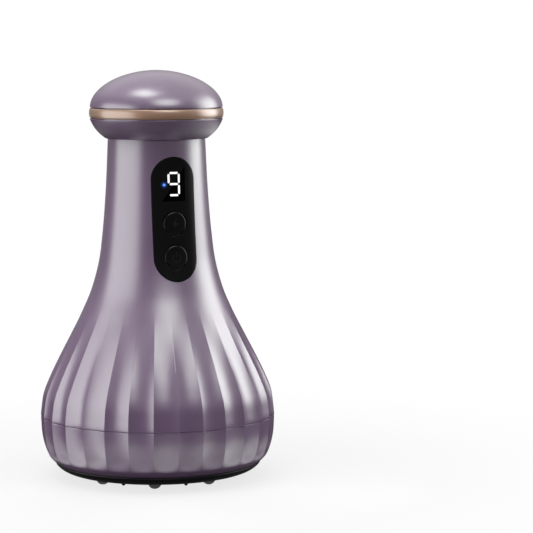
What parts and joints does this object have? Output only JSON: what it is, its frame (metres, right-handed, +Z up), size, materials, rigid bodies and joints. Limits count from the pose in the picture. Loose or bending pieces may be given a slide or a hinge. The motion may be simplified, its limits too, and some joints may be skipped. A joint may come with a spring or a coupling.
{
  "type": "cupping massager",
  "caption": "Bell-shaped electric cupping massager with a fluted body, a slim neck with a control panel, a press-down release knob and a suction cup ringed by steel beads.",
  "frame": {"origin": "on the object's axis, at the level of the steel beads that it stands on", "axes": "+Z up along the neck to the knob, -Y towards the front with the control panel, +X to the right when facing -Y from behind, so to the viewer's right when looking along +Y"},
  "size_m": [0.0838, 0.084, 0.1456],
  "materials": {
    "pearl_purple": "metallic pearl lacquer on plastic, semi-gloss",
    "rose_gold": "rose gold plating on plastic, satin",
    "panel_black": "smoked black, glossy",
    "button_black": "black, semi-gloss",
    "face_black": "black, satin",
    "ring_black": "black, semi-gloss",
    "cup_black": "black, satin",
    "window_smoke": "dark smoked window, glossy",
    "bead_steel": "polished steel",
    "screw_steel": "zinc-plated steel",
    "motor_steel": "pressed steel",
    "magnet_grey": "dull grey magnet",
    "brass": "turned brass",
    "seal_rubber": "soft black rubber",
    "fitting_white": "natural white nylon",
    "hose_silicone": "translucent silicone",
    "frame_grey": "dark grey moulding",
    "pump_black": "black moulding",
    "board_green": "green circuit board",
    "chip_black": "black chip case",
    "display_dark": "dark display case",
    "lamp_blue": "blue lamp",
    "cell_blue": "blue sleeve on a metal can",
    "lead_red": "red insulated lead"
  },
  "bodies": {
    "housing": {"lower_shell": "pearl_purple", "upper_shell": "pearl_purple", "back_badge": "rose_gold", "control_panel": "panel_black", "face_plate": "face_black", "base_ring": "ring_black", "cup_liner": "cup_black", "cup_window": "window_smoke", "electrode_bead_1": "bead_steel", "electrode_bead_2": "bead_steel", "electrode_bead_3": "bead_steel", "electrode_bead_4": "bead_steel", "electrode_bead_5": "bead_steel", "electrode_bead_6": "bead_steel", "electrode_bead_7": "bead_steel", "electrode_bead_8": "bead_steel", "shell_screw_1": "screw_steel", "shell_screw_2": "screw_steel", "shell_screw_3": "screw_steel", "face_screw_1": "screw_steel", "face_screw_2": "screw_steel", "face_screw_3": "screw_steel", "knob_spring": "screw_steel", "motor_can": "motor_steel", "charging_port": "motor_steel", "mode_switch": "motor_steel", "power_switch": "motor_steel", "motor_magnet": "magnet_grey", "mouth_seal": "seal_rubber", "pump_sleeve": "seal_rubber", "pump_diaphragm": "seal_rubber", "suction_elbow": "fitting_white", "air_manifold": "fitting_white", "valve_body": "fitting_white", "cup_hose": "hose_silicone", "valve_hose": "hose_silicone", "pump_bracket": "frame_grey", "battery_holder": "frame_grey", "neck_cap": "frame_grey", "pump_crankcase": "pump_black", "pump_valve_cap": "pump_black", "electrode_board": "board_green", "light_board": "board_green", "main_board": "board_green", "charging_board": "board_green", "pressure_sensor": "chip_black", "display_module": "display_dark", "status_lamp": "lamp_blue", "battery_cell": "cell_blue", "motor_lead": "lead_red"},
    "knob": {"knob_bowl": "pearl_purple", "knob_band": "rose_gold", "knob_dome": "pearl_purple", "valve_plunger": "bead_steel", "valve_seal": "seal_rubber", "spring_retainer": "screw_steel"},
    "mode_key": {"mode_button": "button_black"},
    "power_key": {"power_button": "button_black"},
    "pump_spinner": {"pump_rotor": "motor_steel", "pump_eccentric": "brass"}
  },
  "joints": [
    {"name": "knob_press", "type": "slide", "parent": "housing", "child": "knob", "axis": [0, 0, -1], "range_m": [0, 0.002], "stiffness_N_per_m": 1200, "springref_m": -0.003, "deforming": ["knob_spring"]},
    {"name": "mode_press", "type": "slide", "parent": "housing", "child": "mode_key", "axis": [0, 1, 0], "range_m": [0, 0.0005], "stiffness_N_per_m": 1500, "springref_m": -0.0003},
    {"name": "power_press", "type": "slide", "parent": "housing", "child": "power_key", "axis": [0, 1, 0], "range_m": [0, 0.0005], "stiffness_N_per_m": 1500, "springref_m": -0.0003},
    {"name": "pump_spin", "type": "hinge", "parent": "housing", "child": "pump_spinner", "pos_m": [0, 0, 0.0296], "axis": [0, 0, 1], "continuous": true}
  ]
}
